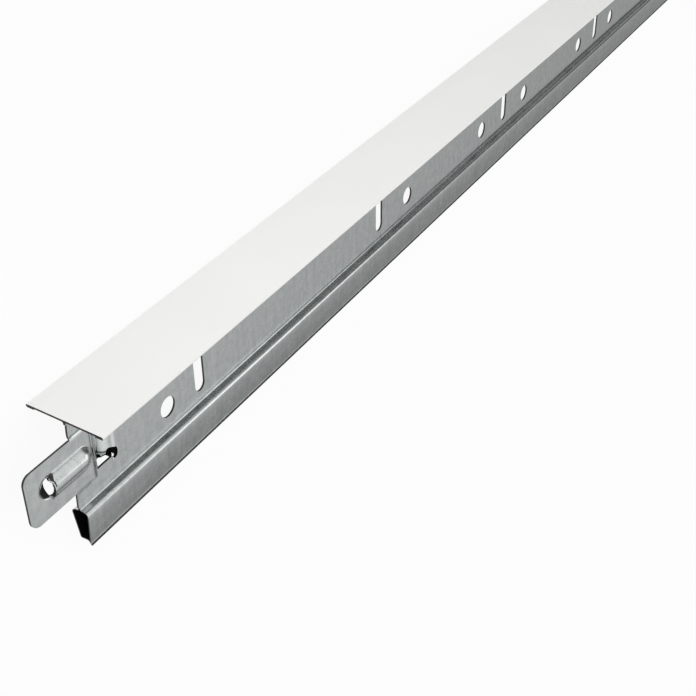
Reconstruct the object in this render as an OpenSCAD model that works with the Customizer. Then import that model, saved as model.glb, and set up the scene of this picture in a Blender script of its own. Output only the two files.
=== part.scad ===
// Ceiling grid main tee. One galvanised strip is roll-formed into a flange, a double web and a hollow
// bulb, and a white prepainted strip caps the flange and is hemmed round its two edges.
// The tee is drawn upright, with the visible face up at z = 0, the web in the plane y = 0 and the near
// end of the flange at x = 0. It is then laid on its side, on the hem and the foot of the bulb.

/* [Profile] */
// Length of the flange between its cut ends
length = 3600; // [1200:100:4800]
// Width of the visible face
face_w = 24; // [15:1:35]
// Height from the visible face to the keel of the bulb
height = 38; // [34:1:50]
// Thickness of the galvanised strip
strip_t = 0.3; // [0.2:0.05:0.5]
// Thickness of the painted cap strip
cap_t = 0.3; // [0.2:0.05:0.5]
// Width of the cap's hem behind the flange edge
hem_w = 2.5; // [2:0.5:5]
// Radius of the bend between the flange and the web
root_r = 0.5; // [0.3:0.1:1]

/* [Bulb] */
// Height of the hollow bulb from its keel to the top of its shoulders
bulb_h = 10.6; // [8:0.2:13]
// Width of the bulb across its shoulders
shoulder_w = 5; // [4:0.2:8]
// Radius of the bulb's shoulders
shoulder_r = 1.3; // [0.8:0.1:1.6]
// Slope of the ledge between the web and the shoulders
ledge_slope = 14; // [0:1:20]
// Distance of the sharp keel from the plane of the web
keel_y = 2.1; // [1:0.1:3]
// Distance of the waist above the keel from the plane of the web
waist_y = 1.9; // [1:0.1:2.4]
// Height of the waist above the keel
waist_rise = 2; // [1:0.1:3]
// Distance of the rounded foot from the plane of the web
foot_y = 1.2; // [0.8:0.1:2]
// Height of the rounded foot above the keel
foot_rise = 1.5; // [0.5:0.1:3]
// Radius of the rounded foot
foot_r = 0.5; // [0.4:0.05:0.8]

/* [Punching] */
// Distance from one cross slot to the next; the first is half a pitch from the end
slot_pitch = 100; // [75:25:200]
// Width of a cross slot
slot_w = 4.2; // [2.4:0.2:5]
// Depth of the upper end of a slot below the visible face
slot_top = 4.2; // [3:0.2:6]
// Depth of the lower end of a slot below the visible face
slot_bottom = 23.7; // [20:0.1:25]
// Diameter of a hanger hole
hole_d = 6; // [4:0.5:8]
// Depth of the hanger holes below the visible face
hole_depth = 20; // [14:0.5:22]
// Distance of a hanger hole from its slot
hole_offset = 20; // [12:1:30]
// Distance of the outermost hanger hole from the first slot
end_hole_offset = 14; // [8:1:20]

/* [Coupling] */
// Depth of the tongue's centre line below the visible face
coupling_depth = 13.4; // [12:0.2:15]
// Length of the tongue past the end of the flange
tongue_l = 16; // [15:0.2:22]
// Height of the tongue
tongue_h = 15.8; // [12:0.2:18]
// Radius of the tongue's corners
tongue_r = 2.6; // [1:0.2:5]
// Length of the offset panel that carries the tongue into the web
panel_l = 6; // [5.6:0.2:6.4]
// Width of the bend between the offset panel and the web
joggle_w = 1.2; // [0.6:0.1:1.4]
// Depth of the rounded rib's axis below the visible face
rib_depth = 13.2; // [12:0.1:14.5]
// Outer radius of the rounded rib on the tongue
rib_r = 3.7; // [3:0.1:4]
// Distance of the rib's axis behind the back of the tongue
rib_sink = 0.9; // [0.5:0.1:1.2]
// Distance of the rib's open end outside the end of the flange
rib_l = 8.4; // [5:0.1:9]
// Distance of the rib's domed end inside the end of the flange
rib_reach = 2.4; // [0:0.1:2.5]
// Half of the height of the scoop beside the eye
eye_r = 2.9; // [2:0.1:3.2]
// Distance by which the eye's slit runs past the scoop
eye_over = 0.6; // [0.1:0.1:0.8]
// Width of the gap between the rib and the scoop
eye_gap = 0.4; // [0.2:0.1:2]
// Depth to which the scoop is pressed out of the tongue
scoop_d = 1.5; // [1:0.1:2]
// Width of the bridge that takes the next tee's scoop
bridge_w = 6.5; // [5:0.1:8]
// Depth to which the bridge is pressed out of the web
bridge_d = 2.1; // [1.5:0.1:3]
// Height of the bridge
bridge_h = 13.2; // [8:0.2:14]
// Distance of the bridge's foot from the offset panel's bend
bridge_gap = 0.2; // [0.1:0.1:2]

/* [Hidden] */
$fn = 48;
overcut = 1;
web_t = 2 * strip_t;
hem_r = cap_t + strip_t / 2;
hem_t = 2 * cap_t + strip_t;
hem_y = face_w / 2 - hem_r;
shoulder_y = shoulder_w / 2 - shoulder_r;
shoulder_z = bulb_h - height - shoulder_r;
fold_y = web_t / 2 + root_r;
fold_z = shoulder_z + (shoulder_r + root_r + (shoulder_y - fold_y) * sin(ledge_slope)) / cos(ledge_slope);
fold_open = 24;
foot_c = [foot_y - foot_r, foot_rise - height + foot_r];
slot_count = floor(length / slot_pitch);
slot_first = (length - (slot_count - 1) * slot_pitch) / 2;
scoop_x = -rib_l - eye_gap;
scoop_r = (eye_r ^ 2 + scoop_d ^ 2) / (2 * scoop_d);
bridge_r = (bridge_w ^ 2 / 4 + bridge_d ^ 2) / (2 * bridge_d);
bridge_y = bridge_d - bridge_r;
bridge_foot = sqrt((bridge_r + web_t) ^ 2 - bridge_y ^ 2);
bridge_x = panel_l + joggle_w + bridge_gap + bridge_foot;
steel_grey = "#b4b8ba";
face_white = "#eeeeec";

// Lying on its side, the tee touches the floor with the hem and the foot of the bulb
rest_run = norm([hem_y - foot_c[0], -hem_r - foot_c[1]]);
lean = atan2(hem_y - foot_c[0], -hem_r - foot_c[1]) + asin((hem_r - foot_r) / rest_run);
lay_angle = lean - 90;
function laid_y(p) = p[0] * cos(lay_angle) - p[1] * sin(lay_angle);
function laid_z(p) = p[0] * sin(lay_angle) + p[1] * cos(lay_angle);
floor_z = laid_z([hem_y, -hem_r]) - hem_r;
side_y = (laid_y([hem_y, -hem_r]) + hem_r + laid_y([-keel_y, -height])) / 2;

function slot_x(i) = slot_first + i * slot_pitch;

function arc(centre, r, from, to, steps = 6) =
    [for (a = [from:(to - from) / steps:to]) centre + r * [cos(a), sin(a)]];

// Outline of the bulb, moved in by the wall on its inside, where the two plies part at a small angle
function bulb_outline(inset) =
    let (keel = [-keel_y, -height], open = inset > 0 ? fold_open : 0)
    concat(
        arc([shoulder_y, shoulder_z], shoulder_r - inset, 0, 90 - ledge_slope),
        arc([fold_y, fold_z], root_r + inset, 270 - ledge_slope, 180 + open),
        arc([-fold_y, fold_z], root_r + inset, -open, ledge_slope - 90),
        arc([-shoulder_y, shoulder_z], shoulder_r - inset, 90 + ledge_slope, 180),
        [[inset - waist_y, waist_rise - height]],
        [keel + inset * [1, 3]],
        [[-foot_c[0] - foot_r, foot_c[1] - foot_r + inset]],
        arc(foot_c, foot_r - inset, 270, 360)
    );

module lay_down() {
    translate([0, -side_y, -floor_z])
        rotate([lay_angle, 0, 0])
            translate([-length / 2, 0, 0])
                children();
}

// Sweeps a section of y and z along the tee
module along(x0, x1) {
    translate([x0, 0, 0])
        rotate([90, 0, 90])
            linear_extrude(x1 - x0)
                children();
}

// Extrudes an outline of x and z from one y to a greater one
module across(y0, y1) {
    translate([0, y1, 0])
        rotate([90, 0, 0])
            linear_extrude(y1 - y0)
                children();
}

// Both ends are alike, half a turn apart, so that any two tees couple
module both_ends() {
    children();
    translate([length, 0, 0])
        rotate([0, 0, 180])
            children();
}

module root_fillet() {
    difference() {
        square(root_r);
        translate([root_r, 0])
            circle(root_r);
    }
}

module body_section() {
    flange_z = -cap_t - strip_t;
    translate([-hem_y, flange_z])
        square([2 * hem_y, strip_t]);
    translate([-web_t / 2, fold_z - strip_t / 2])
        square([web_t, flange_z - fold_z + strip_t]);
    for (side = [0, 1])
        mirror([side, 0])
            translate([web_t / 2, flange_z - root_r])
                root_fillet();
    difference() {
        polygon(bulb_outline(0));
        polygon(bulb_outline(strip_t));
    }
}

module cap_section() {
    difference() {
        union() {
            translate([-hem_y, -hem_t])
                square([2 * hem_y, hem_t]);
            for (side = [-1, 1])
                translate([side * hem_y, -hem_r])
                    circle(hem_r);
        }
        translate([-hem_y, -cap_t - strip_t])
            square([2 * hem_y, strip_t]);
        for (side = [-1, 1])
            translate([side * hem_y, -hem_r])
                circle(strip_t / 2);
        translate([hem_w - face_w / 2, -hem_t - overcut])
            square([face_w - 2 * hem_w, overcut + cap_t + strip_t / 2]);
    }
}

module slot() {
    across(-web_t, web_t) {
        for (end = [-slot_top - slot_w / 2, slot_w / 2 - slot_bottom])
            translate([0, end])
                circle(d = slot_w);
        translate([-slot_w / 2, slot_w / 2 - slot_bottom])
            square([slot_w, slot_bottom - slot_top - slot_w]);
    }
}

module hanger_hole() {
    across(-web_t, web_t)
        translate([0, -hole_depth])
            circle(d = hole_d);
}

// Slots along the whole web, with a hanger hole on both sides of all but the two at either end
module punching() {
    last = slot_count - 1;
    for (i = [0:last])
        translate([slot_x(i), 0, 0])
            slot();
    for (i = [1:last - 2])
        translate([slot_x(i) + hole_offset, 0, 0])
            hanger_hole();
    for (i = [2:last - 1])
        translate([slot_x(i) - hole_offset, 0, 0])
            hanger_hole();
    for (x = [slot_x(0) - end_hole_offset, slot_x(last) + end_hole_offset])
        translate([x, 0, 0])
            hanger_hole();
}

module tongue_outline() {
    translate([tongue_r - tongue_l, -tongue_h / 2])
        square([tongue_l - tongue_r, tongue_h]);
    translate([-tongue_l, tongue_r - tongue_h / 2])
        square([tongue_l, tongue_h - 2 * tongue_r]);
    for (side = [-1, 1])
        translate([tongue_r - tongue_l, side * (tongue_h / 2 - tongue_r)])
            circle(tongue_r);
}

// Block whose wide side lies on the web and whose narrow side is the offset panel
module joggled_block() {
    skin = 0.01;
    hull() {
        translate([0, -skin, -tongue_h / 2 - joggle_w / 2])
            cube([panel_l + joggle_w, skin, tongue_h + joggle_w]);
        translate([0, -web_t, -tongue_h / 2])
            cube([panel_l, skin, tongue_h]);
    }
}

// Bullet-shaped solid along the tongue, from the rib's open end to its domed end
module rib_form(r) {
    translate([-rib_l, rib_sink, 0])
        rotate([0, 90, 0])
            cylinder(h = rib_l + rib_reach, r = r);
    translate([rib_reach, rib_sink, 0])
        sphere(r);
}

// Upright cylinder, part of whose wall is the bridge
module bridge_form(r) {
    translate([bridge_x, bridge_y, -bridge_h / 2])
        cylinder(h = bridge_h, r = r);
}

// Keeps what lies on the near or the far side of a plane of constant y
module near_side(y) {
    intersection() {
        children();
        translate([-length / 2, y - 2 * height, -height])
            cube([length, 2 * height, 2 * height]);
    }
}

module far_side(y) {
    intersection() {
        children();
        translate([-length / 2, y, -height])
            cube([length, 2 * height, 2 * height]);
    }
}

// Half of a ball, part of whose wall is the scoop
module scoop_form(r) {
    intersection() {
        translate([scoop_x, scoop_d - scoop_r - web_t, 0])
            sphere(r);
        translate([scoop_x - height, -height, -height])
            cube([height, 2 * height, 2 * height]);
    }
}

module coupling_added() {
    translate([0, -web_t / 2, -coupling_depth]) {
        across(-web_t, 0)
            tongue_outline();
        joggled_block();
        far_side(0)
            bridge_form(bridge_r + web_t);
    }
    translate([0, -web_t / 2, -rib_depth]) {
        near_side(0)
            rib_form(rib_r);
        far_side(-web_t)
            scoop_form(scoop_r + web_t);
    }
}

module coupling_removed() {
    translate([0, -web_t / 2, -coupling_depth]) {
        translate([0, web_t, 0])
            joggled_block();
        bridge_form(bridge_r);
    }
    translate([0, -web_t / 2, -rib_depth]) {
        rib_form(rib_r - web_t);
        scoop_form(scoop_r);
        translate([scoop_x, -web_t - overcut, -eye_r - eye_over])
            cube([eye_gap, web_t + 2 * overcut, 2 * (eye_r + eye_over)]);
    }
}

module tee_body() {
    color(steel_grey)
        lay_down()
            difference() {
                union() {
                    along(0, length)
                        body_section();
                    both_ends()
                        coupling_added();
                }
                both_ends()
                    coupling_removed();
                punching();
            }
}

module face_cap() {
    color(face_white)
        lay_down()
            along(0, length)
                cap_section();
}

tee_body();
face_cap();
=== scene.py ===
"""Looks of a ceiling grid main tee: a galvanised roll-formed body under a white hemmed face strip.

Shapes are worked out upright, in millimetres: x along the tee from the near end of its flange, y to
the far side of the web and z up, with the visible face at z = 0. They are then laid on their side.
"""
import logging
import math
from dataclasses import dataclass, field
from enum import Enum, IntEnum

import bpy
import numpy as np
from mathutils import Matrix, Vector
from mathutils.geometry import delaunay_2d_cdt


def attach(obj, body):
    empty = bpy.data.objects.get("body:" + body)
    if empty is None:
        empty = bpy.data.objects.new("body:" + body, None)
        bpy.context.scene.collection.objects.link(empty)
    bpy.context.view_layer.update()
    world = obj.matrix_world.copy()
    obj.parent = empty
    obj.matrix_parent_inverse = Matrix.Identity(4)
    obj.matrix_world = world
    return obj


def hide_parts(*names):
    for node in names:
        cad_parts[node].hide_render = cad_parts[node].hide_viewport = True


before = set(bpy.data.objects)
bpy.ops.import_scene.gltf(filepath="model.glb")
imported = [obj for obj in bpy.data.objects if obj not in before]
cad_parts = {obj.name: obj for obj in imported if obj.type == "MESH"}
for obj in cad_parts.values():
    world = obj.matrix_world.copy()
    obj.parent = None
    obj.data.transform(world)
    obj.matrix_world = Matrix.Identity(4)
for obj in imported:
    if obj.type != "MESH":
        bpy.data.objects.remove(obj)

LOG = logging.getLogger("ceiling_tee")
Loop = np.ndarray
Pair = tuple[float, float]
Point = tuple[float, float, float]
Quad = tuple[float, float, float, float]
WHITE: Quad = (1.0, 1.0, 1.0, 1.0)
MM_PER_M = 1000
# Edges between faces that turn by more than this are sharp
SHARP_DEG = 38
# Points of a plane that lie closer than this are one point, and triangles below this area are left out
SAME_MM, SLIVER_MM2 = 1e-6, 1e-9
# Keeps a division whole where two points of a loop coincide
TINY = 1e-12


class Slot(Enum):
    """Material slots of the record."""

    ZINC = "galvanised_steel"
    PAINT = "white_prepaint"


class Skin(IntEnum):
    """Kinds of surface on a piece, in the order of its material slots."""

    FACE = 0
    # Sheared steel, whose grey is also painted as shade at the rib's mouth and in the scoop
    CUT_EDGE_AND_SHADE = 1
    # Near-black painted shade inside the bulb, inside the rib and in the bridge's pockets
    PAINTED_SHADE = 2


@dataclass(frozen=True)
class TeeSizes:
    """Sizes of the profile and its punching, in millimetres."""

    length: float = 3600.0
    face_w: float = 24.0
    height: float = 38.0
    strip_t: float = 0.3
    cap_t: float = 0.3
    hem_w: float = 2.5
    keel_y: float = 2.1
    waist_y: float = 1.85
    waist_rise: float = 0.5
    edge_h: float = 0.5
    foot_y: float = 1.2
    foot_rise: float = 1.5
    foot_r: float = 0.5
    shoulder_y: float = 2.5
    slot_pitch: float = 100.0
    slot_w: float = 4.2
    slot_top: float = 4.2
    slot_bottom: float = 23.7
    hole_d: float = 6.0
    hole_depth: float = 20.0
    hole_offset: float = 20.0
    end_hole_offset: float = 14.0
    web_from: float = -1.4
    web_to: float = -26.4
    cut_skew: float = 0.056
    cut_x: float = 0.1

    @property
    def web_t(self) -> float:
        """Thickness of the double web."""
        return 2 * self.strip_t

    @property
    def hem_r(self) -> float:
        """Outer radius of the hem's fold."""
        return self.cap_t + self.strip_t / 2

    @property
    def hem_y(self) -> float:
        """Distance of the hem's axis from the web."""
        return self.face_w / 2 - self.hem_r

    @property
    def foot_c(self) -> Pair:
        """Centre of the bulb's rounded foot."""
        return self.foot_y - self.foot_r, self.foot_rise - self.height + self.foot_r

    def slot_xs(self) -> list[float]:
        """Gives the places of the cross slots along the tee.

        Returns:
            Places from near to far.
        """
        count = int(self.length // self.slot_pitch)
        first = (self.length - (count - 1) * self.slot_pitch) / 2
        return [first + i * self.slot_pitch for i in range(count)]

    def hole_xs(self) -> list[float]:
        """Gives the places of the hanger holes along the tee.

        Returns:
            Places from near to far.
        """
        slots = self.slot_xs()
        right = [x + self.hole_offset for x in slots[1:-2]]
        left = [x - self.hole_offset for x in slots[2:-1]]
        return sorted([slots[0] - self.end_hole_offset, *right, *left, slots[-1] + self.end_hole_offset])


class LaidFrame:
    """Turns upright millimetres into the row frame, where the tee lies on its hem and the bulb's foot."""

    def __init__(self, sizes: TeeSizes) -> None:
        """Works out the lean and the offsets.

        Args:
            sizes: sizes of the profile.
        """
        foot_y, foot_z = sizes.foot_c
        run_y, run_z = sizes.hem_y - foot_y, -sizes.hem_r - foot_z
        lean = math.atan2(run_y, run_z) + math.asin((sizes.hem_r - sizes.foot_r) / math.hypot(run_y, run_z))
        self.angle = lean - math.pi / 2
        self.turn = np.array(Matrix.Rotation(self.angle, 3, "X"))
        hem = self.turn @ (0, sizes.hem_y, -sizes.hem_r)
        keel = self.turn @ (0, -sizes.keel_y, -sizes.height)
        side_y = (hem[1] + sizes.hem_r + keel[1]) / 2
        self.shift = np.array([-sizes.length / 2, -side_y, sizes.hem_r - hem[2]])

    def place(self, points: np.ndarray) -> np.ndarray:
        """Gives the row-frame places of upright points.

        Args:
            points: array of upright points in millimetres.

        Returns:
            Array of points in the row frame, in metres.
        """
        return (np.asarray(points, dtype=float) @ self.turn.T + self.shift) / MM_PER_M

    def direction(self, vector: Point) -> np.ndarray:
        """Turns an upright direction into the row frame."""
        return self.turn @ np.asarray(vector, dtype=float)


def srgb(hex_colour: str) -> Quad:
    """Turns an sRGB hex value into linear colour.

    Args:
        hex_colour: six hex digits after a hash sign.

    Returns:
        Linear red, green and blue, and full opacity.
    """
    parts = [int(hex_colour[i:i + 2], 16) / 255 for i in (1, 3, 5)]
    linear = [c / 12.92 if c <= 0.04045 else ((c + 0.055) / 1.055) ** 2.4 for c in parts]
    return linear[0], linear[1], linear[2], 1.0


def add_node(tree: bpy.types.NodeTree, kind: str, inputs: dict[int | str, object] | None = None,
             **settings: object) -> bpy.types.Node:
    """Adds a node, sets it up and links it.

    Args:
        tree: node tree that gets the node.
        kind: node type.
        inputs: values or output sockets by input name or number.
        settings: attributes of the node.

    Returns:
        The new node.
    """
    node = tree.nodes.new(kind)
    for name, value in settings.items():
        setattr(node, name, value)
    for name, value in (inputs or {}).items():
        if isinstance(value, bpy.types.NodeSocket):
            tree.links.new(value, node.inputs[name])
        else:
            node.inputs[name].default_value = value
    return node


def add_math(tree: bpy.types.NodeTree, operation: str,
             *values: float | bpy.types.NodeSocket) -> bpy.types.NodeSocket:
    """Adds one step of arithmetic.

    Args:
        tree: node tree that gets the step.
        operation: name of the operation.
        values: numbers or sockets, in the operation's order.

    Returns:
        Socket of the result.
    """
    return add_node(tree, "ShaderNodeMath", dict(enumerate(values)), operation=operation).outputs[0]


def add_noise(tree: bpy.types.NodeTree, vector: bpy.types.NodeSocket, size_mm: float, detail: float,
              roughness: float = 0.5) -> bpy.types.NodeSocket:
    """Adds a noise pattern.

    Args:
        tree: node tree that gets the pattern.
        vector: socket of coordinates in millimetres.
        size_mm: size of the pattern's blots.
        detail: number of finer layers.
        roughness: strength of each finer layer.

    Returns:
        Socket of the pattern.
    """
    return add_node(tree, "ShaderNodeTexNoise", {
        "Vector": vector, "Scale": 1 / size_mm, "Detail": detail, "Roughness": roughness}).outputs["Fac"]


def add_range(tree: bpy.types.NodeTree, value: bpy.types.NodeSocket, span: Pair,
              result: Pair = (0.0, 1.0)) -> bpy.types.NodeSocket:
    """Maps a value from one range to another.

    Args:
        tree: node tree that gets the map.
        value: socket of the value.
        span: ends of the value's range.
        result: ends of the result's range.

    Returns:
        Socket of the result.
    """
    return add_node(tree, "ShaderNodeMapRange", {
        "Value": value, "From Min": span[0], "From Max": span[1], "To Min": result[0],
        "To Max": result[1]}).outputs["Result"]


def add_blend(tree: bpy.types.NodeTree, share: bpy.types.NodeSocket, first: Quad | bpy.types.NodeSocket,
              second: Quad) -> bpy.types.NodeSocket:
    """Blends two colours.

    Args:
        tree: node tree that gets the blend.
        share: socket of the second colour's share.
        first: first colour or its socket.
        second: second colour.

    Returns:
        Socket of the colour.
    """
    return add_node(tree, "ShaderNodeMix", {0: share, 6: first, 7: second}, data_type="RGBA").outputs[2]


def blank_material(name: str) -> bpy.types.Material:
    """Makes a material without nodes.

    Args:
        name: name of the material.

    Returns:
        The new material.
    """
    made = bpy.data.materials.new(name)
    made.use_nodes = True
    made.node_tree.nodes.clear()
    return made


class Finish:
    """A surface finish with its own material."""

    name: str

    def material(self, lay: LaidFrame) -> bpy.types.Material:
        """Makes the material.

        Args:
            lay: frame that tells the pattern which way the tee lies.

        Returns:
            A new node material.
        """
        made = blank_material(self.name)
        tree = made.node_tree
        coords = add_node(tree, "ShaderNodeTexCoord")
        upright = add_node(tree, "ShaderNodeMapping", {
            "Vector": coords.outputs["Object"], "Rotation": (-lay.angle, 0, 0), "Scale": (MM_PER_M,) * 3})
        shader = self.shader(tree, upright.outputs["Vector"])
        add_node(tree, "ShaderNodeOutputMaterial", {"Surface": shader.outputs["BSDF"]})
        return made

    def shader(self, tree: bpy.types.NodeTree, millimetres: bpy.types.NodeSocket) -> bpy.types.Node:
        """Builds the shader.

        Args:
            tree: node tree of the material.
            millimetres: socket of upright coordinates in millimetres.

        Returns:
            Node of the shader.
        """
        raise NotImplementedError


@dataclass(frozen=True)
class GalvanisedStrip(Finish):
    """Hot-dip galvanised steel strip, skin-passed and roll-formed: a satin zinc grey with a faint
    mottling of spangle, fine streaks from the rolls and small scuffs where it was handled."""

    name: str = "hot_dip_galvanised_strip"
    light: str = "#D2D6D5"
    dark: str = "#C2C6C6"
    scuff: str = "#A3A9AB"
    streak_mm: float = 1.6
    streak_length_mm: float = 26.0
    spangle_mm: float = 2.2
    grain_mm: float = 0.55
    wave_mm: float = 34.0
    streak_share: float = 0.9
    wave_share: float = 4.0
    tone_span: Pair = (0.7, 1.2)
    speck_span: Pair = (0.61, 0.7)
    speck_share: float = 0.85
    gloss_span: Pair = (0.7, 1.3)
    rough: Pair = (0.14, 0.2)
    bump: float = 0.12
    bump_m: float = 0.00012

    def shader(self, tree: bpy.types.NodeTree, millimetres: bpy.types.NodeSocket) -> bpy.types.Node:
        """Builds the shader.

        Args:
            tree: node tree of the material.
            millimetres: socket of upright coordinates in millimetres.

        Returns:
            Node of the shader.
        """
        across, along = 1 / self.streak_mm, 1 / self.streak_length_mm
        stretched = add_node(tree, "ShaderNodeVectorMath", {
            0: millimetres, 1: (across, across, along)}, operation="MULTIPLY")
        streaks = add_noise(tree, stretched.outputs[0], size_mm=1.0, detail=3.0, roughness=0.6)
        spangle = add_noise(tree, millimetres, self.spangle_mm, detail=2.0)
        # Skin-pass grain is finer than a tenth of a millimetre and is drawn coarser, so that it shows
        grain = add_noise(tree, millimetres, self.grain_mm, detail=2.0, roughness=0.6)
        wave = add_noise(tree, millimetres, self.wave_mm, detail=1.0)
        mottle = add_math(tree, "MULTIPLY_ADD", streaks, self.streak_share, spangle)
        tone = add_range(tree, mottle, self.tone_span)
        zinc = add_blend(tree, tone, srgb(self.dark), srgb(self.light))
        specks = add_range(tree, grain, self.speck_span, (0.0, self.speck_share))
        height = add_math(tree, "MULTIPLY_ADD", wave, self.wave_share, mottle)
        relief = add_node(tree, "ShaderNodeBump", {
            "Strength": self.bump, "Distance": self.bump_m, "Height": height})
        return add_node(tree, "ShaderNodeBsdfPrincipled", {
            "Base Color": add_blend(tree, specks, zinc, srgb(self.scuff)), "Metallic": 1.0,
            "Roughness": add_range(tree, mottle, self.gloss_span, self.rough),
            "Normal": relief.outputs["Normal"]})


@dataclass(frozen=True)
class WhitePrepaint(Finish):
    """Polyester coil coating on steel strip: an even, slightly warm matt white whose faint orange peel
    softens what it mirrors."""

    name: str = "white_polyester_prepaint"
    colour: str = "#F0F0EE"
    shade: str = "#EAEAE8"
    peel_mm: float = 1.1
    tone_mm: float = 45.0
    rough: Pair = (0.42, 0.52)
    ior: float = 1.5
    bump: float = 0.05
    bump_m: float = 0.00005

    def shader(self, tree: bpy.types.NodeTree, millimetres: bpy.types.NodeSocket) -> bpy.types.Node:
        """Builds the shader.

        Args:
            tree: node tree of the material.
            millimetres: socket of upright coordinates in millimetres.

        Returns:
            Node of the shader.
        """
        tone = add_noise(tree, millimetres, self.tone_mm, detail=2.0)
        # Orange peel is about 0.5 mm across and is drawn coarser, so that it shows
        peel = add_noise(tree, millimetres, self.peel_mm, detail=1.0)
        relief = add_node(tree, "ShaderNodeBump", {
            "Strength": self.bump, "Distance": self.bump_m, "Height": peel})
        return add_node(tree, "ShaderNodeBsdfPrincipled", {
            "Base Color": add_blend(tree, tone, srgb(self.shade), srgb(self.colour)),
            "Roughness": add_range(tree, peel, (0.0, 1.0), self.rough), "IOR": self.ior,
            "Normal": relief.outputs["Normal"]})


@dataclass(frozen=True)
class ShearedSteel(Finish):
    """Bare steel where the strip was sheared or punched: a dull dark grey, torn along the cut. The same grey
    is also painted as shade at the rib's mouth and in the scoop, and a near-black copy paints the shade
    inside the bulb, the rib and the bridge's pockets.
    """

    name: str = "sheared_steel_edge_and_painted_shade"
    light: str = "#565654"
    dark: str = "#2E2E2D"
    tear_mm: float = 0.5
    rough: float = 0.6

    def shader(self, tree: bpy.types.NodeTree, millimetres: bpy.types.NodeSocket) -> bpy.types.Node:
        """Builds the shader.

        Args:
            tree: node tree of the material.
            millimetres: socket of upright coordinates in millimetres.

        Returns:
            Node of the shader.
        """
        tear = add_noise(tree, millimetres, self.tear_mm, detail=2.0)
        return add_node(tree, "ShaderNodeBsdfPrincipled", {
            "Base Color": add_blend(tree, tear, srgb(self.dark), srgb(self.light)), "Metallic": 1.0,
            "Roughness": self.rough})


def arc(centre: Pair, radius: float, start: float, end: float, steps: int = 8) -> Loop:
    """Gives points on an arc.

    Args:
        centre: centre of the arc.
        radius: radius of the arc.
        start: first angle in degrees.
        end: last angle in degrees.
        steps: number of chords.

    Returns:
        Array of points from the first angle to the last.
    """
    angles = np.radians(np.linspace(start, end, steps + 1))
    return np.column_stack([centre[0] + radius * np.cos(angles), centre[1] + radius * np.sin(angles)])


def ease(share: np.ndarray) -> np.ndarray:
    """Runs smoothly from 0 to 1 as the share does."""
    kept = np.clip(share, 0, 1)
    return kept * kept * (3 - 2 * kept)


def inside(points: np.ndarray, loops: list[Loop]) -> np.ndarray:
    """Tells which points lie in the area between loops, by the even-odd rule.

    Args:
        points: array of plane points.
        loops: outline and holes.

    Returns:
        Array of truth values.
    """
    odd = np.zeros(len(points), dtype=bool)
    u, v = points[:, 0], points[:, 1]
    for loop in loops:
        for (u0, v0), (u1, v1) in zip(loop, np.roll(loop, -1, axis=0)):
            if v0 != v1:
                odd ^= ((v0 > v) != (v1 > v)) & (u < (u1 - u0) * (v - v0) / (v1 - v0) + u0)
    return odd


def away_from(points: np.ndarray, loops: list[Loop], gap: float) -> np.ndarray:
    """Tells which points keep a gap to all the loops' edges.

    Args:
        points: array of plane points.
        loops: outline and holes.
        gap: least distance.

    Returns:
        Array of truth values.
    """
    clear = np.ones(len(points), dtype=bool)
    for loop in loops:
        for a, b in zip(loop, np.roll(loop, -1, axis=0)):
            edge = b - a
            part = np.clip((points - a) @ edge / max(float(edge @ edge), TINY), 0, 1)
            clear &= np.linalg.norm(points - a - part[:, None] * edge, axis=1) > gap
    return clear


def triangulate(loops: list[Loop], extra: np.ndarray | None = None) -> tuple[np.ndarray, np.ndarray]:
    """Fills the area between loops with counter-clockwise triangles.

    Args:
        loops: outline and holes.
        extra: further points inside the area.

    Returns:
        Points of the plane, and triangles as numbers of points.
    """
    points: list[np.ndarray] = []
    edges: list[tuple[int, int]] = []
    for loop in loops:
        first = len(points)
        points.extend(loop)
        edges.extend((first + i, first + (i + 1) % len(loop)) for i in range(len(loop)))
    if extra is not None:
        points.extend(extra)
    verts, _, faces, *_ = delaunay_2d_cdt([tuple(map(float, p)) for p in points], edges, [], 0, SAME_MM)
    flat = np.array([tuple(v) for v in verts])
    tris = np.array([f for f in faces if len(f) == 3])
    a, b, c = flat[tris[:, 0]], flat[tris[:, 1]], flat[tris[:, 2]]
    area = (b[:, 0] - a[:, 0]) * (c[:, 1] - a[:, 1]) - (b[:, 1] - a[:, 1]) * (c[:, 0] - a[:, 0])
    tris[area < 0] = tris[area < 0][:, ::-1]
    kept = (np.abs(area) > SLIVER_MM2) & inside((a + b + c) / 3, loops)
    return flat, tris[kept]


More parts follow.
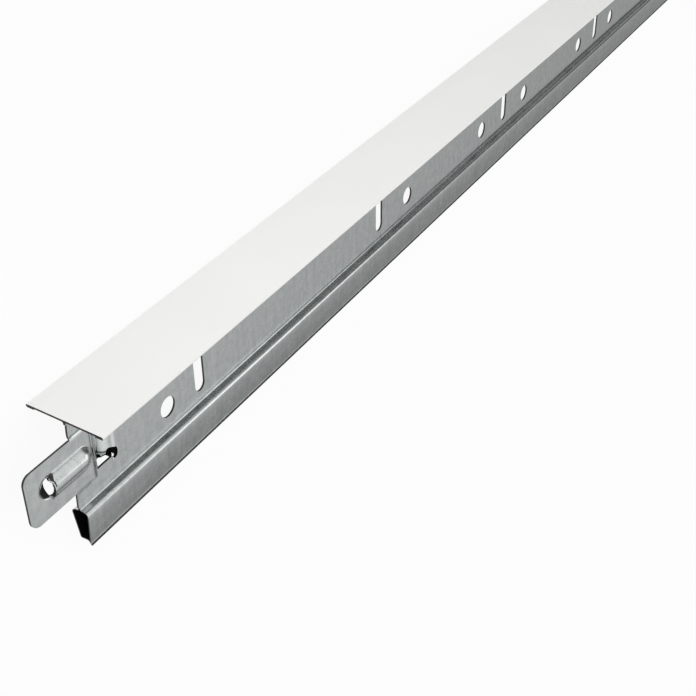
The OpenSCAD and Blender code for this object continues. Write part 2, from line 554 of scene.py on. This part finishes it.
class PieceMesh:
    """Collects the faces of one piece and makes its object."""

    def __init__(self, name: str, lay: LaidFrame) -> None:
        """Starts an empty piece.

        Args:
            name: name of the piece.
            lay: frame that lays the piece down.
        """
        self.name = name
        self.lay = lay
        self.points: list[np.ndarray] = []
        self.faces: list[tuple[int, ...]] = []
        self.skins: list[int] = []
        self.count = 0

    def add(self, points: np.ndarray, faces: np.ndarray | list[tuple[int, ...]], skin: Skin) -> None:
        """Adds faces with points of their own.

        Args:
            points: upright points in millimetres.
            faces: faces as numbers of those points.
            skin: kind of surface.
        """
        self.points.append(np.asarray(points, dtype=float))
        self.faces.extend(tuple(int(i) + self.count for i in f) for f in faces)
        self.skins.extend([int(skin)] * len(faces))
        self.count += len(points)

    def extrude(self, loops: list[Loop], x0: float, x1: float, skins: list[Skin], skew: float = 0) -> None:
        """Extrudes a section of y and z along the tee and closes its cut ends.

        Args:
            loops: counter-clockwise outline, then clockwise holes.
            x0: place of the near cut at the web.
            x1: place of the far cut.
            skins: kind of surface of each loop's sides.
            skew: how far the near cut runs along the tee for each millimetre across it.
        """
        for loop, skin in zip(loops, skins):
            n = len(loop)
            sides = np.vstack([self.cut_at(loop, x0, skew), self.cut_at(loop, x1)])
            self.add(sides, [(i, (i + 1) % n, n + (i + 1) % n, n + i) for i in range(n)], skin)
        flat, tris = triangulate(loops)
        self.add(self.cut_at(flat, x0, skew), tris[:, ::-1], Skin.CUT_EDGE_AND_SHADE)
        self.add(self.cut_at(flat, x1), tris, Skin.CUT_EDGE_AND_SHADE)

    @staticmethod
    def cut_at(section: Loop, x: float, skew: float = 0) -> np.ndarray:
        """Puts a section at a cut across the tee, which may run askew."""
        return np.column_stack([x + skew * section[:, 0], section])

    def build(self, materials: list[bpy.types.Material], slot: Slot, node: str) -> bpy.types.Object:
        """Makes the object, lays it down and lets it stand for a CAD node.

        Args:
            materials: materials in the order of Skin.
            slot: material slot of the record; not used.
            node: CAD node that the piece replaces.

        Returns:
            The new object.
        """
        mesh = bpy.data.meshes.new(self.name)
        mesh.from_pydata(self.lay.place(np.vstack(self.points)).tolist(), [], self.faces)
        for material in materials:
            mesh.materials.append(material)
        mesh.polygons.foreach_set("material_index", self.skins)
        mesh.polygons.foreach_set("use_smooth", [True] * len(self.faces))
        mesh.set_sharp_from_angle(angle=math.radians(SHARP_DEG))
        mesh.validate()
        piece = bpy.data.objects.new(self.name, mesh)
        bpy.context.scene.collection.objects.link(piece)
        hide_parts(node)
        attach(piece, "root")
        return piece


@dataclass
class Coupling:
    """Pressed tongue, rib, eye and bridge at the near end of the web, in upright millimetres.

    Fields of four numbers are the middle's x and z, then half the width and height. The wall at the rib's
    mouth, and the wedge and tail of painted shade there, count from the middle of the mouth.
    """

    web_t: float
    tongue_top: float = -5.5
    tongue_bottom: float = -21.2
    tongue_tip: float = -16.0
    tip_upper_r: float = 2.4
    tip_lower_r: float = 3.0
    panel_end: float = 6.0
    panel_bend: float = 1.6
    lip_bend: float = 0.9
    top_bend: float = 0.4
    rib_z: float = -13.2
    rib_half: float = 3.4
    rib_d: float = 1.9
    rib_bow: float = 0.6
    rib_mouth: float = -8.4
    rib_dome: float = 2.4
    mouth_wall: float = 0.45
    mouth_skew: float = 0.75
    mouth_lip: float = 0.4
    scoop_x: float = -8.8
    scoop_z: float = -12.9
    scoop_r: float = 2.9
    scoop_d: float = 1.7
    eye_half: float = 2.7
    bridge_x: float = 11.3
    bridge_half: float = 3.25
    bridge_d: float = 2.1
    bridge_top: float = -6.8
    bridge_bottom: float = -20.0
    slit: float = 0.05
    pocket_d: float = 0.5
    pocket_rim: float = 0.15
    relief: Quad = (14.4, -19.5, 1.3, 1.7)
    relief_hole: Quad = (14.3, -20.5, 0.75, 0.52)
    corner: Quad = (10.1, -19.4, 1.5, 1.5)
    slit_over: float = 0.2
    slit_end: float = 13.2
    slit_steps: int = 40
    eye_steps: int = 25
    lip_h: float = 0.45
    lip_run: float = 0.8
    mouth_edge: float = 0.1
    mouth_from: float = 1.4
    wall_z: Pair = (1.45, 3.4)
    wedge_run: float = 0.12
    wedge_x: float = 0.3
    wedge_z: Pair = (1.5, 3.2)
    tail: Quad = (0.4, 1.3, 0.15, 0.7)
    bowl_edge: float = 0.1
    bowl_rise: float = 0.4
    bowl_slope: float = 0.5
    neck_top_x: float = 0.5
    neck_x: float = 0.3
    neck_z: float = -3.8
    # Middle and radius of the corners where the tongue leaves the web
    throat: Pair = (-0.2, 0.5)
    crotch: Pair = (-0.9, 0.6)
    root_x: float = -0.3
    soft: float = 0.22
    table_reach: float = 8.0
    table_steps: int = 800
    patch_end: float = 30.0
    grid_step: float = 0.2
    grid_x: Pair = (-15.8, 17.6)
    grid_z: Pair = (-23.4, -3.6)
    fine_half: float = 4.4
    fine_x: Pair = (-12.5, 5.0)
    oval_gap: float = 0.08
    wall_gap: float = 0.1
    rim_gap: float = 0.13
    rib_table: tuple[np.ndarray, np.ndarray] = field(init=False)
    scoop_table: tuple[np.ndarray, np.ndarray] = field(init=False)
    bridge_table: tuple[np.ndarray, np.ndarray] = field(init=False)

    def __post_init__(self) -> None:
        """Works out the pressed profiles, softened as sheet metal bends."""
        self.rib_table = self.softened(self.rib_half, self.rib_d, self.rib_bow)
        self.scoop_table = self.softened(self.scoop_r, self.scoop_d)
        self.bridge_table = self.softened(self.bridge_half, self.bridge_d)

    def softened(self, half: float, rise: float, bow: float = 0.0) -> tuple[np.ndarray, np.ndarray]:
        """Gives a round-topped pressing with rounded bends at its feet.

        Args:
            half: distance of its feet from its middle.
            rise: height of its middle.
            bow: share by which its flanks lean back, where a round one's stand up.

        Returns:
            Distances and heights, to interpolate between.
        """
        d = np.linspace(-self.table_reach, self.table_reach, 2 * self.table_steps + 1)
        ball = (half ** 2 + rise ** 2) / (2 * rise)
        round_top = np.sqrt(np.maximum(ball ** 2 - d ** 2, 0)) + rise - ball
        sharp = np.maximum(bow * rise * (1 - (d / half) ** 2) + (1 - bow) * round_top, 0)
        blur = np.exp(-0.5 * (np.linspace(-1, 1, 201) / self.soft) ** 2)
        soft = np.convolve(sharp, blur / blur.sum(), mode="same")
        return d[self.table_steps:], soft[self.table_steps:]

    @staticmethod
    def depth_in(x: np.ndarray, z: np.ndarray, oval: Quad) -> np.ndarray:
        """Gives how deep places lie in an upright oval, from below zero outside it to 1 at its middle."""
        return 1 - np.hypot((x - oval[0]) / oval[2], (z - oval[1]) / oval[3])

    def height(self, x: np.ndarray, z: np.ndarray) -> np.ndarray:
        """Gives the middle surface of the pressed web.

        Args:
            x: places along the tee.
            z: heights, which are below zero.

        Returns:
            Distance to the far side of the web's plane.
        """
        along = 1 - ease((x - self.panel_end) / self.panel_bend)
        up = ease((self.tongue_top + self.top_bend - z) / self.top_bend)
        down = ease((z - self.tongue_bottom + self.lip_bend) / self.lip_bend)
        y = -self.web_t * along * up * down
        middle = (self.rib_mouth + self.scoop_x) / 2
        reach = np.hypot(np.maximum(x - self.rib_dome, 0), z - self.rib_z)
        # The upper corner of the rib's mouth is drawn down to the tongue into a steep wall, which skins()
        # also paints as a dark wedge of shade
        closed = ease((x - self.wall_x(z)) / self.mouth_wall)
        y = y - np.where(x > middle, np.interp(reach, *self.rib_table) * closed, 0)
        bowl = np.hypot(x - self.scoop_x, z - self.scoop_z)
        y = y + np.where(x <= middle, np.interp(bowl, *self.scoop_table), 0)
        held = (z < self.bridge_top) & (z > self.bridge_bottom)
        y = y + np.where(held, np.interp(np.abs(x - self.bridge_x), *self.bridge_table), 0)
        y = y + self.pocket_d * ease(self.depth_in(x, z, self.relief) / self.pocket_rim)
        pocket = self.pocket_d * ease(self.depth_in(x, z, self.corner) / self.pocket_rim)
        return y + pocket * (z > self.bridge_bottom)

    def wall_x(self, z: np.ndarray) -> np.ndarray:
        """Gives where the wall starts that closes the upper corner of the rib's mouth."""
        above = np.maximum(z - self.rib_z - self.mouth_from, 0)
        return self.rib_mouth - self.mouth_wall + self.mouth_skew * above

    def skins(self, x: np.ndarray, z: np.ndarray) -> np.ndarray:
        """Tells which kind of surface the near side has.

        It is painted near-black as shade in the bridge's pockets and on its lip, and painted with the dark
        grey of sheared steel as shade at the rib's mouth and in the lower half of the scoop.

        Args:
            x: places along the tee.
            z: heights, which are below zero.

        Returns:
            Array of kinds of surface.
        """
        # Painted shade: near-black on the bridge's lip and in its pockets
        lip = (z < self.bridge_bottom + self.lip_h) & (np.abs(x - self.bridge_x) < self.bridge_half)
        bridge = (z > self.bridge_bottom) & (lip | (self.depth_in(x, z, self.corner) > 0))
        bridge |= self.depth_in(x, z, self.relief) > 0
        # Painted shade: the dark sheared-steel grey on a wedge and a tail at the rib's mouth
        run = x - self.wall_x(z)
        wedge = (run > self.wedge_run) & (run < self.mouth_wall) & (x > self.rib_mouth + self.wedge_x)
        wedge &= (z > self.rib_z + self.wedge_z[0]) & (z < self.rib_z + self.wedge_z[1])
        tail_x, tail_z, half_x, half_z = self.tail
        wedge |= (np.abs(x - self.rib_mouth - tail_x) < half_x) & (np.abs(z - self.rib_z - tail_z) < half_z)
        # Painted shade: the dark sheared-steel grey in the lower half of the scoop
        bowl = np.hypot(x - self.scoop_x, z - self.scoop_z) < self.scoop_r - self.bowl_edge
        brim = self.scoop_z + self.bowl_rise + self.bowl_slope * (x - self.scoop_x)
        bowl &= (x < self.scoop_x) & (z < brim)
        return np.select([bridge, wedge | bowl], [Skin.PAINTED_SHADE, Skin.CUT_EDGE_AND_SHADE], Skin.FACE)

    def tunnel(self, x: np.ndarray, z: np.ndarray) -> np.ndarray:
        """Tells which places lie inside the rib, which no light reaches.

        Args:
            x: places along the tee.
            z: heights, which are below zero.

        Returns:
            Array of truth values.
        """
        beside = np.abs(z - self.rib_z) < self.rib_half
        return (x > self.rib_mouth - self.mouth_edge) & (x < self.rib_dome) & beside

    def lip(self, x: np.ndarray, z: np.ndarray) -> np.ndarray:
        """Gives by how much the sheet is upset inside the rib's mouth.

        Args:
            x: places along the tee.
            z: heights, which are below zero.

        Returns:
            Extra thickness.
        """
        within = (x > self.rib_mouth - self.mouth_edge) & (np.abs(z - self.rib_z) < self.rib_half)
        raised = ease((x - self.wall_x(z)) / self.mouth_wall)
        return self.mouth_lip * ease((self.rib_mouth + self.lip_run - x) / self.lip_run) * within * raised

    def loops(self, web_from: float, web_to: float) -> list[Loop]:
        """Gives the outline of the web's near end, with its eye and the slits of its bridge.

        Args:
            web_from: upper end of the web.
            web_to: lower end of the web.

        Returns:
            Outline and holes in x and z.
        """
        tip, top, bottom = self.tongue_tip, self.tongue_top, self.tongue_bottom
        upper = arc((tip + self.tip_upper_r, top - self.tip_upper_r), self.tip_upper_r, 90, 180, 12)
        lower = arc((tip + self.tip_lower_r, bottom + self.tip_lower_r), self.tip_lower_r, 180, 270, 12)
        (throat_x, throat_r), (crotch_x, crotch_r) = self.throat, self.crotch
        throat = arc((throat_x, top + throat_r), throat_r, 0, -90, 5)
        crotch = arc((crotch_x, bottom - crotch_r), crotch_r, 90, 0, 5)
        outline = np.vstack([
            [[self.patch_end, web_to], [self.patch_end, web_from], [self.neck_top_x, web_from],
             [self.neck_x, self.neck_z]], throat, upper, lower, crotch, [[self.root_x, web_to]]])
        eye_z = np.linspace(-self.eye_half, self.eye_half, self.eye_steps)
        left = np.column_stack([np.full_like(eye_z, self.scoop_x), self.scoop_z + eye_z])
        right = np.column_stack([np.full_like(eye_z, self.rib_mouth), self.scoop_z - eye_z])
        holes = [np.vstack([left, right])]
        reach = self.bridge_half + self.slit_over
        for z, end in ((self.bridge_top, self.bridge_x + reach), (self.bridge_bottom, self.slit_end)):
            run = np.linspace(self.bridge_x - reach, end, self.slit_steps)
            holes.append(np.vstack([np.column_stack([run, np.full_like(run, z - self.slit)]),
                                    np.column_stack([run[::-1], np.full_like(run, z + self.slit)])]))
        holes.append(self.oval_loop(self.relief_hole, steps=20))
        return [outline[::-1], *holes]

    @staticmethod
    def oval_loop(oval: Quad, steps: int) -> Loop:
        """Gives the outline of an upright oval."""
        return arc((0, 0), 1, 0, 360, steps)[:-1] * oval[2:] + oval[:2]

    def grid(self, loops: list[Loop]) -> np.ndarray:
        """Gives points inside the outline, close together where the web is pressed.

        Args:
            loops: outline and holes.

        Returns:
            Array of points in x and z.
        """
        xs, zs = np.meshgrid(np.arange(*self.grid_x, self.grid_step), np.arange(*self.grid_z, self.grid_step),
                             indexing="ij")
        odd = np.indices(xs.shape).sum(axis=0) % 2 + (np.indices(xs.shape)[0] % 2)
        pressed = (np.abs(zs - self.rib_z) < self.fine_half) & (xs > self.fine_x[0]) | (xs > self.fine_x[1])
        kept = pressed | (odd == 0)
        points = np.column_stack([xs[kept], zs[kept]])
        points = points[np.abs(self.depth_in(*points.T, self.relief)) > self.oval_gap]
        run, above = points[:, 0] - self.wall_x(points[:, 1]), points[:, 1]
        corner = (above > self.rib_z + self.mouth_from) & (above < self.rib_z + self.wall_z[1])
        points = points[~corner | (np.minimum(np.abs(run), np.abs(run - self.mouth_wall)) > self.wall_gap)]
        wall_z = np.linspace(*self.wall_z, 18) + self.rib_z
        walls = [np.column_stack([self.wall_x(wall_z) + dx, wall_z]) for dx in (0, self.mouth_wall)]
        points = np.vstack([points, self.oval_loop(self.relief, steps=60), *walls])
        points = points[inside(points, loops)]
        return points[away_from(points, loops, self.rim_gap)]


@dataclass
class SteelBody:
    """Galvanised body: flange strip, double web with punching and couplings, and hollow bulb."""

    sizes: TeeSizes
    lay: LaidFrame
    flange_bend: float = 0.6
    root_r: float = 0.35
    root_drop: float = 0.473
    fold_open: float = 14.0
    ledge_slope: float = 14.0
    shoulder_r: float = 1.2
    shoulder_z: float = -28.63
    side: tuple[Pair, ...] = ((-2.49, -29.3), (-2.42, -30.5), (-2.28, -32.5), (-2.09, -34.7), (-1.91, -36.5),
                              (-1.89, -36.7))
    side_end: Pair = (-1.87, -36.9)
    waist_h: float = 0.15
    under_y: Pair = (-1.25, -0.9)
    under_drop: float = 0.12
    foot_end: float = 352.0
    slope_step: float = 0.02
    edge_proud: float = 0.01
    mesh: PieceMesh = field(init=False)
    coupling: Coupling = field(init=False)

    def __post_init__(self) -> None:
        """Starts the mesh and works out the coupling."""
        self.mesh = PieceMesh("galvanised_tee", self.lay)
        self.coupling = Coupling(self.sizes.web_t)

    def flange_loop(self) -> Loop:
        """Gives the outline of the flange strip with its two bends into the web.

        Returns:
            Array of points in y and z, counter-clockwise.
        """
        s, bend = self.sizes, self.flange_bend
        top, low, half = -s.cap_t, -s.cap_t - s.strip_t, s.web_t / 2
        near = arc((-half - bend, low - bend), bend, 90, 0)
        far = arc((half + bend, low - bend), bend, 180, 90)
        return np.vstack([[[s.hem_y, top], [-s.hem_y, top], [-s.hem_y, low]], near,
                          [[-half, s.web_from], [half, s.web_from]], far, [[s.hem_y, low]]])

    def bulb_loop(self, inset: float) -> Loop:
        """Gives the outline of the bulb.

        Args:
            inset: distance from the outside of the wall.

        Returns:
            Array of points in y and z, counter-clockwise.
        """
        s = self.sizes
        half, centre, root_z = s.web_t / 2, s.shoulder_y - self.shoulder_r, s.web_to - self.root_drop
        start, level = -self.fold_open if inset else 0, 90 - self.ledge_slope
        near_root = arc((-half - self.root_r, root_z), self.root_r + inset, start, -level)
        far_root = arc((half + self.root_r, root_z), self.root_r + inset, 180 + level, 180 - start)
        near_shoulder = arc((-centre, self.shoulder_z), self.shoulder_r - inset, 180 - level, 180, 14)
        far_shoulder = arc((centre, self.shoulder_z), self.shoulder_r - inset, 0, level, 14)
        side = np.array(self.side) + [inset, 0]
        waist = s.waist_rise - s.height
        floor = s.foot_c[1] - s.foot_r + inset
        under = [[self.under_y[0], floor - self.under_drop], [self.under_y[1], floor]]
        foot = arc(s.foot_c, s.foot_r - inset, 270, self.foot_end)
        # The inside of the wall ends above the keel, where the strip's edges meet, and has no stub to the web
        keel, stub = [], []
        if not inset:
            keel = [self.side_end, [-s.waist_y, waist + self.waist_h], [-s.waist_y, waist],
                    [-s.keel_y, -s.height]]
            stub = [[half, s.web_to], [-half, s.web_to]]
        parts = [near_root, near_shoulder, side, keel, under, foot, far_shoulder, far_root, stub]
        return np.vstack([part for part in parts if len(part)])

    def add_sheet(self, points: np.ndarray, tris: np.ndarray, pressed: bool, seams: tuple[float, ...],
                  turned: bool = False) -> None:
        """Gives a flat patch of the web its pressed form and thickness.

        Args:
            points: points in x and z.
            tris: counter-clockwise triangles.
            pressed: whether the patch has a coupling.
            seams: places along the tee where the patch meets the next one.
            turned: whether the patch goes to the far end, half a turn round.
        """
        x, z = points.T
        half, step = self.sizes.web_t / 2, self.slope_step
        y, slope_x, slope_z = np.zeros_like(x), np.zeros_like(x), np.zeros_like(x)
        if pressed:
            rise = self.coupling.height
            y = rise(x, z)
            slope_x = (rise(x + step, z) - rise(x - step, z)) / (2 * step)
            slope_z = (rise(x, z + step) - rise(x, z - step)) / (2 * step)
        normal = np.column_stack([-slope_x, np.ones_like(x), -slope_z])
        normal /= np.linalg.norm(normal, axis=1)[:, None]
        middle = np.column_stack([x, y, z])
        near, far = middle - half * normal, middle + half * normal
        skins, tunnel = np.full(len(tris), Skin.FACE), np.zeros(len(tris), dtype=bool)
        if pressed:
            far += self.coupling.lip(x, z)[:, None] * normal
            centres = points[tris].mean(axis=1).T
            skins, tunnel = self.coupling.skins(*centres), self.coupling.tunnel(*centres)
        if turned:
            near, far = ([self.sizes.length, 0, 0] + side * [-1, -1, 1] for side in (near, far))
        for skin in Skin:
            self.mesh.add(near, tris[skins == skin], skin)
        self.mesh.add(far, tris[~tunnel][:, ::-1], Skin.FACE)
        # Painted shade: the inside of the rib gets the near-black colour
        self.mesh.add(far, tris[tunnel][:, ::-1], Skin.PAINTED_SHADE)
        edges = {edge: True for a, b, c in tris.tolist() for edge in ((a, b), (b, c), (c, a))}
        hidden = [np.abs(x - s) < SAME_MM for s in seams]
        hidden += [np.abs(z - s) < SAME_MM for s in (self.sizes.web_from, self.sizes.web_to)]
        rim = [(i, j) for i, j in edges
               if (j, i) not in edges and not any(line[i] and line[j] for line in hidden)]
        n = len(points)
        self.mesh.add(np.vstack([near, far]), [(i, n + i, n + j, j) for i, j in rim], Skin.CUT_EDGE_AND_SHADE)

    def add_web(self) -> None:
        """Adds the web in three patches: a coupling at each end and the punched length between them."""
        s, c = self.sizes, self.coupling
        loops = c.loops(s.web_from, s.web_to)
        points, tris = triangulate(loops, c.grid(loops))
        for turned in (False, True):
            self.add_sheet(points, tris, True, (c.patch_end,), turned)
        x0, x1 = c.patch_end, s.length - c.patch_end
        loops = [np.array([[x0, s.web_to], [x1, s.web_to], [x1, s.web_from], [x0, s.web_from]])]
        r = s.slot_w / 2
        for x in s.slot_xs():
            loops.append(np.vstack([arc((x, -s.slot_top - r), r, 0, 180, 16),
                                    arc((x, r - s.slot_bottom), r, 180, 360, 16)]))
        for x in s.hole_xs():
            loops.append(arc((x, -s.hole_depth), s.hole_d / 2, 0, 360, 40)[:-1])
        points, tris = triangulate(loops)
        self.add_sheet(points, tris, False, (x0, x1))

    def build(self, materials: list[bpy.types.Material]) -> bpy.types.Object:
        """Builds the body and dresses it.

        Args:
            materials: materials in the order of Skin.

        Returns:
            The new object.
        """
        s = self.sizes
        self.mesh.extrude([self.flange_loop()], s.cut_x, s.length, [Skin.FACE], s.cut_skew)
        # The bulb's inner walls are painted near-black as shade
        self.mesh.extrude([self.bulb_loop(0), self.bulb_loop(s.strip_t)[::-1]], 0, s.length,
                          [Skin.FACE, Skin.PAINTED_SHADE])
        self.add_web()
        self.add_keel_edge()
        return self.mesh.build(materials, Slot.ZINC, "tee_body")

    def add_keel_edge(self) -> None:
        """Adds the sheared edge of the strip, which shows along the keel."""
        s = self.sizes
        upper_y = s.keel_y - (s.keel_y - s.waist_y) * s.edge_h / s.waist_rise
        section = ((s.keel_y, 0), (upper_y, s.edge_h))
        corners = [(x, -y - self.edge_proud, z - s.height) for x in (0, s.length) for y, z in section]
        self.mesh.add(np.array(corners), [(0, 2, 3, 1)], Skin.CUT_EDGE_AND_SHADE)


@dataclass
class FaceStrip:
    """White strip that caps the flange and is hemmed round its edges."""

    sizes: TeeSizes
    lay: LaidFrame
    mesh: PieceMesh = field(init=False)

    def __post_init__(self) -> None:
        """Starts the mesh."""
        self.mesh = PieceMesh("white_face_strip", self.lay)

    def loop(self) -> Loop:
        """Gives the outline of the strip with its two hems.

        Returns:
            Array of points in y and z, counter-clockwise.
        """
        s = self.sizes
        y, r, inner, edge = s.hem_y, s.hem_r, s.strip_t / 2, s.face_w / 2 - s.hem_w
        return np.vstack([
            arc((-y, -r), r, 90, 270, 16), [[-edge, -2 * r], [-edge, -r - inner]],
            arc((-y, -r), inner, 270, 90), arc((y, -r), inner, 90, -90),
            [[edge, -r - inner], [edge, -2 * r]], arc((y, -r), r, -90, 90, 16)])

    def build(self, materials: list[bpy.types.Material]) -> bpy.types.Object:
        """Builds the strip and dresses it.

        Args:
            materials: materials in the order of Skin.

        Returns:
            The new object.
        """
        s = self.sizes
        self.mesh.extrude([self.loop()], s.cut_x, s.length, [Skin.FACE], s.cut_skew)
        return self.mesh.build(materials, Slot.PAINT, "face_cap")


@dataclass
class Studio:
    """Pale floor, soft light and the camera of the photograph."""

    lay: LaidFrame
    lens_mm: float = 62.52
    sensor_mm: float = 36.0
    clip_m: Pair = (0.01, 50.0)
    eye: Point = (-155.469, -165.514, 168.556)
    right: Point = (0.49568877, -0.86842675, -0.01129704)
    down: Point = (-0.49665111, -0.27276438, -0.8239765)
    view: Point = (0.71248181, 0.41404658, -0.56651135)
    floor_m: float = 40.0
    floor_drop_m: float = 0.0002
    paper: str = "#E0E0E0"
    white_share: float = 0.92
    card: str = "#A0A0A0"
    card_box_m: Quad = (-2.2, -0.9, 2.2, -0.035)
    card_drop_m: float = 0.0001
    sky_near: Point = (-0.679, -0.648, 0.345)
    near_span: Pair = (-1.0, 0.245)
    sky_above: Point = (-0.15, -0.85, 0.5)
    above_span: Pair = (-0.3, 0.355)
    sky_ahead: Point = (-0.95, 0.0, -0.3)
    ahead_at: float = 0.88
    ahead_span: Pair = (0.02, 0.22)
    sky_level: Pair = (0.1, 1.0)
    box_at: Point = (20.0, 0.0, 300.0)
    box_m: float = 0.25
    box_w: float = 0.235
    strip_at: Point = (459.0, -437.0, -104.0)
    strip_m: float = 0.26
    strip_w: float = 0.17
    lamps_aim: Point = (60.0, 0.0, 0.0)

    def add_camera(self) -> None:
        """Puts the camera where the photograph was taken from."""
        data = bpy.data.cameras.new("camera")
        data.lens, data.sensor_width = self.lens_mm, self.sensor_mm
        data.clip_start, data.clip_end = self.clip_m
        camera = bpy.data.objects.new("camera", data)
        right, down, view = (self.lay.direction(axis) for axis in (self.right, self.down, self.view))
        matrix = Matrix(np.array([right, -down, -view]).T.tolist()).to_4x4()
        matrix.translation = self.lay.place(np.array(self.eye))
        camera.matrix_world = matrix
        bpy.context.scene.collection.objects.link(camera)
        bpy.context.scene.camera = camera

    @staticmethod
    def add_plane(name: str, box: Quad, drop: float, material: bpy.types.Material) -> bpy.types.Object:
        """Lays a level rectangle under the tee.

        Args:
            name: name of the rectangle.
            box: least x and y, then greatest x and y, in metres.
            drop: distance below the tee, in metres.
            material: material of the rectangle.

        Returns:
            The new object.
        """
        x0, y0, x1, y1 = box
        corners = [(x, y, -drop) for x, y in ((x0, y0), (x1, y0), (x1, y1), (x0, y1))]
        mesh = bpy.data.meshes.new(name)
        mesh.from_pydata(corners, [], [(0, 1, 2, 3)])
        mesh.materials.append(material)
        plane = bpy.data.objects.new(name, mesh)
        bpy.context.scene.collection.objects.link(plane)
        return plane

    def add_floor(self) -> None:
        """Lays a pale floor that looks white and keeps a soft shadow."""
        material = blank_material("white_paper_floor")
        tree = material.node_tree
        path = add_node(tree, "ShaderNodeLightPath").outputs
        seen = add_math(tree, "MAXIMUM", path["Is Camera Ray"], path["Is Glossy Ray"])
        seen = add_math(tree, "MAXIMUM", seen, path["Is Transmission Ray"])
        paper = add_node(tree, "ShaderNodeBsdfDiffuse", {"Color": srgb(self.paper)})
        glow = add_node(tree, "ShaderNodeEmission", {"Color": WHITE, "Strength": 1.0})
        mixed = add_node(tree, "ShaderNodeMixShader", {
            0: add_math(tree, "MULTIPLY", seen, self.white_share), 1: paper.outputs[0], 2: glow.outputs[0]})
        add_node(tree, "ShaderNodeOutputMaterial", {"Surface": mixed.outputs[0]})
        half = self.floor_m
        floor = self.add_plane("floor", (-half, -half, half, half), self.floor_drop_m, material)

    def add_card(self) -> None:
        """Lays a grey card by the tee, which only the zinc mirrors, as studios tone down a white table."""
        material = blank_material("grey_card")
        grey = add_node(material.node_tree, "ShaderNodeBsdfDiffuse", {"Color": srgb(self.card)})
        add_node(material.node_tree, "ShaderNodeOutputMaterial", {"Surface": grey.outputs[0]})
        card = self.add_plane("grey_card", self.card_box_m, self.card_drop_m, material)
        card.visible_camera = card.visible_diffuse = card.visible_shadow = False

    def facing(self, tree: bpy.types.NodeTree, source: Point) -> bpy.types.NodeSocket:
        """Gives how far a direction of the sky points to an upright direction.

        Args:
            tree: nodes of the world.
            source: upright direction.

        Returns:
            Socket of the cosine between the two.
        """
        coords = add_node(tree, "ShaderNodeTexCoord")
        pair = {0: coords.outputs["Generated"], 1: self.lay.direction(source)}
        return add_node(tree, "ShaderNodeVectorMath", pair, operation="DOT_PRODUCT").outputs["Value"]

    def add_sky(self) -> None:
        """Surrounds the tee with a sky that is bright above and behind the camera."""
        world = bpy.data.worlds.new("soft_studio")
        bpy.context.scene.world = world
        world.use_nodes = True
        tree = world.node_tree
        tree.nodes.clear()
        near = add_range(tree, self.facing(tree, self.sky_near), self.near_span, self.sky_level)
        above = add_range(tree, self.facing(tree, self.sky_above), self.above_span, self.sky_level)
        # A dark band stands ahead of the camera, and the bulb's shoulder mirrors it further along the tee
        past = add_math(tree, "ADD", self.facing(tree, self.sky_ahead), self.ahead_at)
        band = add_range(tree, add_math(tree, "ABSOLUTE", past), self.ahead_span, self.sky_level)
        level = add_math(tree, "MINIMUM", add_math(tree, "MINIMUM", near, above), band)
        sky = add_node(tree, "ShaderNodeBackground", {"Color": WHITE, "Strength": level})
        add_node(tree, "ShaderNodeOutputWorld", {"Surface": sky.outputs[0]})

    def add_lamp(self, name: str, place: Point, size_m: float, watts: float) -> None:
        """Hangs up a square lamp that shines on the near end of the tee.

        Args:
            name: name of the lamp.
            place: upright place in millimetres.
            size_m: side of the lamp.
            watts: power of the lamp.
        """
        data = bpy.data.lights.new(name, "AREA")
        data.size, data.energy = size_m, watts
        lamp = bpy.data.objects.new(name, data)
        at, aim = self.lay.place(np.array([place, self.lamps_aim]))
        turn = Vector(aim - at).to_track_quat("-Z", "Y").to_matrix().to_4x4()
        lamp.matrix_world = Matrix.Translation(at) @ turn
        bpy.context.scene.collection.objects.link(lamp)

    def build(self) -> None:
        """Sets up floor, light and camera."""
        self.add_floor()
        self.add_card()
        self.add_sky()
        self.add_lamp("softbox", self.box_at, self.box_m, self.box_w)
        self.add_lamp("strip_light", self.strip_at, self.strip_m, self.strip_w)
        self.add_camera()
        bpy.context.scene.view_settings.view_transform = "Standard"


def main() -> None:
    """Builds the tee in its studio."""
    logging.basicConfig(level=logging.INFO, format="%(name)s: %(message)s")
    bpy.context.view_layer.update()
    sizes = TeeSizes()
    lay = LaidFrame(sizes)
    # Painted shade: the inside of the bulb, which no light reaches, the inside of the rib and the bridge's
    # pockets are painted almost black
    inner = ShearedSteel("painted_shade_in_bulb_rib_and_bridge", light="#1E1E1E", dark="#141414", tear_mm=2.0, rough=0.9)
    finishes = (GalvanisedStrip(), WhitePrepaint(), ShearedSteel(), inner)
    zinc, paint, cut, hollow = (finish.material(lay) for finish in finishes)
    body = SteelBody(sizes, lay).build([zinc, cut, hollow])
    strip = FaceStrip(sizes, lay).build([paint, cut])
    for piece in (body, strip):
        LOG.info("%s: %d triangles", piece.name, sum(len(face.vertices) - 2 for face in piece.data.polygons))
    Studio(lay).build()


if __name__ == "__main__":
    main()
